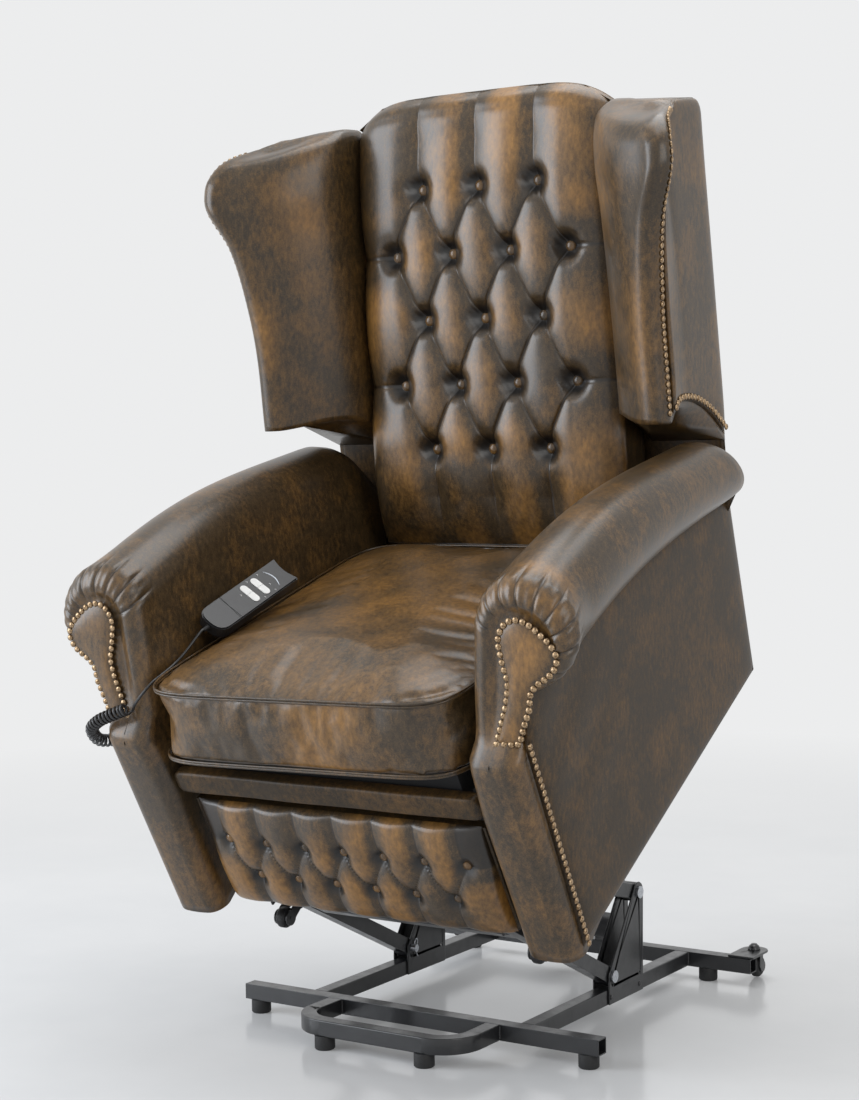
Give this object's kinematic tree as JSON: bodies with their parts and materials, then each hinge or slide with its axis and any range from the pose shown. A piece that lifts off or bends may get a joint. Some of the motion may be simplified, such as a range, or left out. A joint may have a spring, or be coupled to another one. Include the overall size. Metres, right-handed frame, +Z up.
{
  "type": "wingback recliner",
  "caption": "Rise-and-recline wing armchair with a deep-buttoned leather back, scroll arms, buttoned footrest and a steel lifting base, shown risen.",
  "frame": {"origin": "on the floor under the middle of the risen chair", "axes": "+Z up, -Y the way the chair faces, +X to the right as seen from in front"},
  "size_m": [0.9018, 0.9734, 1.5089],
  "materials": {
    "black_steel": "satin black paint",
    "zinc_steel": "bright zinc plate",
    "antique_leather": "two-tone antique leather, rubbed lighter on the crests",
    "panel_leather": "two-tone antique leather, pulled flat",
    "frame_wood": "raw board",
    "black_cloth": "woven dust cloth",
    "dark_plastic": "fine matt texture",
    "white_keys": "smooth",
    "black_rubber": "matt"
  },
  "bodies": {
    "base": {"cross_tubes": "black_steel", "side_rails": "black_steel", "front_loop": "black_steel", "base_feet": "black_rubber", "lift_brackets": "black_steel", "base_pivot_pins": "zinc_steel", "rear_castor_plates": "black_steel"},
    "castor_fork_left": {"rear_castor_fork_left": "black_steel"},
    "castor_fork_right": {"rear_castor_fork_right": "black_steel"},
    "castor_wheel_left": {"rear_castor_wheel_left": "black_rubber"},
    "castor_wheel_right": {"rear_castor_wheel_right": "black_rubber"},
    "lift_links": {"lift_arms": "black_steel", "lift_cross_bar": "black_steel"},
    "roller_left": {"front_roller_left": "black_rubber"},
    "roller_right": {"front_roller_right": "black_rubber"},
    "second_links": {"rear_lift_links": "black_steel"},
    "lift_drive": {"lift_motor": "dark_plastic"},
    "lift_drive_rod": {"lift_rod": "zinc_steel"},
    "seat": {"chassis_sides": "black_steel", "chassis_bars": "black_steel", "seat_pivot_pins": "zinc_steel", "seat_box": "frame_wood", "seat_springs": "zinc_steel", "seat_cushion": "antique_leather", "front_rail": "panel_leather", "arm_left": "antique_leather", "arm_right": "antique_leather", "arm_facings": "panel_leather", "side_panel_left": "panel_leather", "side_panel_right": "panel_leather", "rear_cover": "black_cloth", "power_supply": "dark_plastic", "handset_case": "dark_plastic", "cord_relief": "black_rubber", "handset_lead": "black_rubber", "curly_cord": "black_rubber", "cord_grommet": "black_rubber"},
    "foot_links": {"footrest_rear_links": "black_steel", "footrest_tie": "black_steel"},
    "foot_front_links": {"footrest_front_links": "black_steel"},
    "foot_board": {"footrest_board": "frame_wood", "footrest_pad": "antique_leather", "footrest_buttons": "antique_leather"},
    "foot_drive": {"footrest_motor": "dark_plastic"},
    "foot_drive_rod": {"footrest_rod": "zinc_steel"},
    "back": {"back_uprights": "frame_wood", "back_rails": "frame_wood", "recline_hinges": "black_steel", "back_pad": "antique_leather", "back_buttons": "antique_leather", "wing_left": "antique_leather", "wing_right": "antique_leather", "wing_panels": "panel_leather", "outside_back": "panel_leather"},
    "recline_drive": {"recline_motor": "dark_plastic"},
    "recline_drive_rod": {"recline_rod": "zinc_steel"},
    "key_1": {"key_back_up": "white_keys"},
    "key_2": {"key_back_down": "white_keys"},
    "key_3": {"key_foot_up": "white_keys"},
    "key_4": {"key_foot_down": "white_keys"}
  },
  "joints": [
    {"name": "lift", "type": "hinge", "parent": "base", "child": "lift_links", "pos_m": [0, 0.124, 0.067], "axis": [1, 0, 0], "range_deg": [0, 26]},
    {"name": "second_link_turn", "type": "hinge", "parent": "base", "child": "second_links", "pos_m": [0, 0.215, 0.188], "axis": [1, 0, 0], "range_deg": [0, 24]},
    {"name": "seat_tilt", "type": "hinge", "parent": "lift_links", "child": "seat", "pos_m": [0, -0.2175, 0.23346], "axis": [1, 0, 0], "range_deg": [-57, 0]},
    {"name": "lift_drive_turn", "type": "hinge", "parent": "base", "child": "lift_drive", "pos_m": [0, 0.4175, 0.063], "axis": [1, 0, 0], "range_deg": [0, 14]},
    {"name": "lift_drive_slide", "type": "slide", "parent": "lift_drive", "child": "lift_drive_rod", "axis": [0, -0.9117, 0.4109], "range_m": [-0.0725, 0]},
    {"name": "recline", "type": "hinge", "parent": "seat", "child": "back", "pos_m": [0, 0.17526, 0.73619], "axis": [1, 0, 0], "range_deg": [-35, 0]},
    {"name": "recline_drive_turn", "type": "hinge", "parent": "seat", "child": "recline_drive", "pos_m": [0, -0.04278, 0.49483], "axis": [1, 0, 0], "range_deg": [-1, 0]},
    {"name": "recline_drive_slide", "type": "slide", "parent": "recline_drive", "child": "recline_drive_rod", "axis": [0, 0.8733, 0.4873], "range_m": [-0.067, 0]},
    {"name": "footrest", "type": "hinge", "parent": "seat", "child": "foot_links", "pos_m": [0, -0.29356, 0.4482], "axis": [1, 0, 0], "range_deg": [-80, 0]},
    {"name": "foot_front_turn", "type": "hinge", "parent": "foot_links", "child": "foot_front_links", "pos_m": [0, -0.20856, 0.30097], "axis": [1, 0, 0], "range_deg": [0, 151.5]},
    {"name": "foot_board_turn", "type": "hinge", "parent": "foot_front_links", "child": "foot_board", "pos_m": [0, -0.31147, 0.40321], "axis": [1, 0, 0], "range_deg": [-149.5, 0]},
    {"name": "foot_drive_turn", "type": "hinge", "parent": "seat", "child": "foot_drive", "pos_m": [0, -0.05278, 0.51215], "axis": [1, 0, 0], "range_deg": [-4.5, 0]},
    {"name": "foot_drive_slide", "type": "slide", "parent": "foot_drive", "child": "foot_drive_rod", "axis": [0, -0.9213, -0.389], "range_m": [0, 0.043]},
    {"name": "castor_swivel_left", "type": "hinge", "parent": "base", "child": "castor_fork_left", "pos_m": [-0.306, 0.463, 0.06], "axis": [0, 0, 1], "continuous": true},
    {"name": "castor_roll_left", "type": "hinge", "parent": "castor_fork_left", "child": "castor_wheel_left", "pos_m": [-0.306, 0.475, 0.02], "axis": [1, 0, 0], "continuous": true},
    {"name": "castor_swivel_right", "type": "hinge", "parent": "base", "child": "castor_fork_right", "pos_m": [0.306, 0.463, 0.06], "axis": [0, 0, 1], "continuous": true},
    {"name": "castor_roll_right", "type": "hinge", "parent": "castor_fork_right", "child": "castor_wheel_right", "pos_m": [0.306, 0.475, 0.02], "axis": [1, 0, 0], "continuous": true},
    {"name": "roller_roll_left", "type": "hinge", "parent": "lift_links", "child": "roller_left", "pos_m": [-0.238, -0.16149, 0.17056], "axis": [1, 0, 0], "continuous": true},
    {"name": "roller_roll_right", "type": "hinge", "parent": "lift_links", "child": "roller_right", "pos_m": [0.238, -0.16149, 0.17056], "axis": [1, 0, 0], "continuous": true},
    {"name": "key_press_1", "type": "slide", "parent": "seat", "child": "key_1", "axis": [0.5676, -0.4115, 0.7131], "range_m": [-0.0008, 0], "stiffness_N_per_m": 900, "springref_m": 0.0006},
    {"name": "key_press_2", "type": "slide", "parent": "seat", "child": "key_2", "axis": [0.5676, -0.4115, 0.7131], "range_m": [-0.0008, 0], "stiffness_N_per_m": 900, "springref_m": 0.0006},
    {"name": "key_press_3", "type": "slide", "parent": "seat", "child": "key_3", "axis": [0.5676, -0.4115, 0.7131], "range_m": [-0.0008, 0], "stiffness_N_per_m": 900, "springref_m": 0.0006},
    {"name": "key_press_4", "type": "slide", "parent": "seat", "child": "key_4", "axis": [0.5676, -0.4115, 0.7131], "range_m": [-0.0008, 0], "stiffness_N_per_m": 900, "springref_m": 0.0006}
  ],
  "couplings": [
    {"joint": "second_link_turn", "follows": "lift", "ratio": 0.89077},
    {"joint": "seat_tilt", "follows": "lift", "ratio": -2.1538},
    {"joint": "lift_drive_turn", "follows": "lift", "ratio": 0.51562},
    {"joint": "lift_drive_slide", "follows": "lift", "m_per_rad": -0.15681},
    {"joint": "recline_drive_turn", "follows": "recline", "ratio": 0.011914},
    {"joint": "recline_drive_slide", "follows": "recline", "m_per_rad": 0.10706},
    {"joint": "foot_front_turn", "follows": "footrest", "ratio": -1.885},
    {"joint": "foot_board_turn", "follows": "footrest", "ratio": 1.86},
    {"joint": "foot_drive_turn", "follows": "footrest", "ratio": 0.049725},
    {"joint": "foot_drive_slide", "follows": "footrest", "m_per_rad": -0.030059}
  ]
}
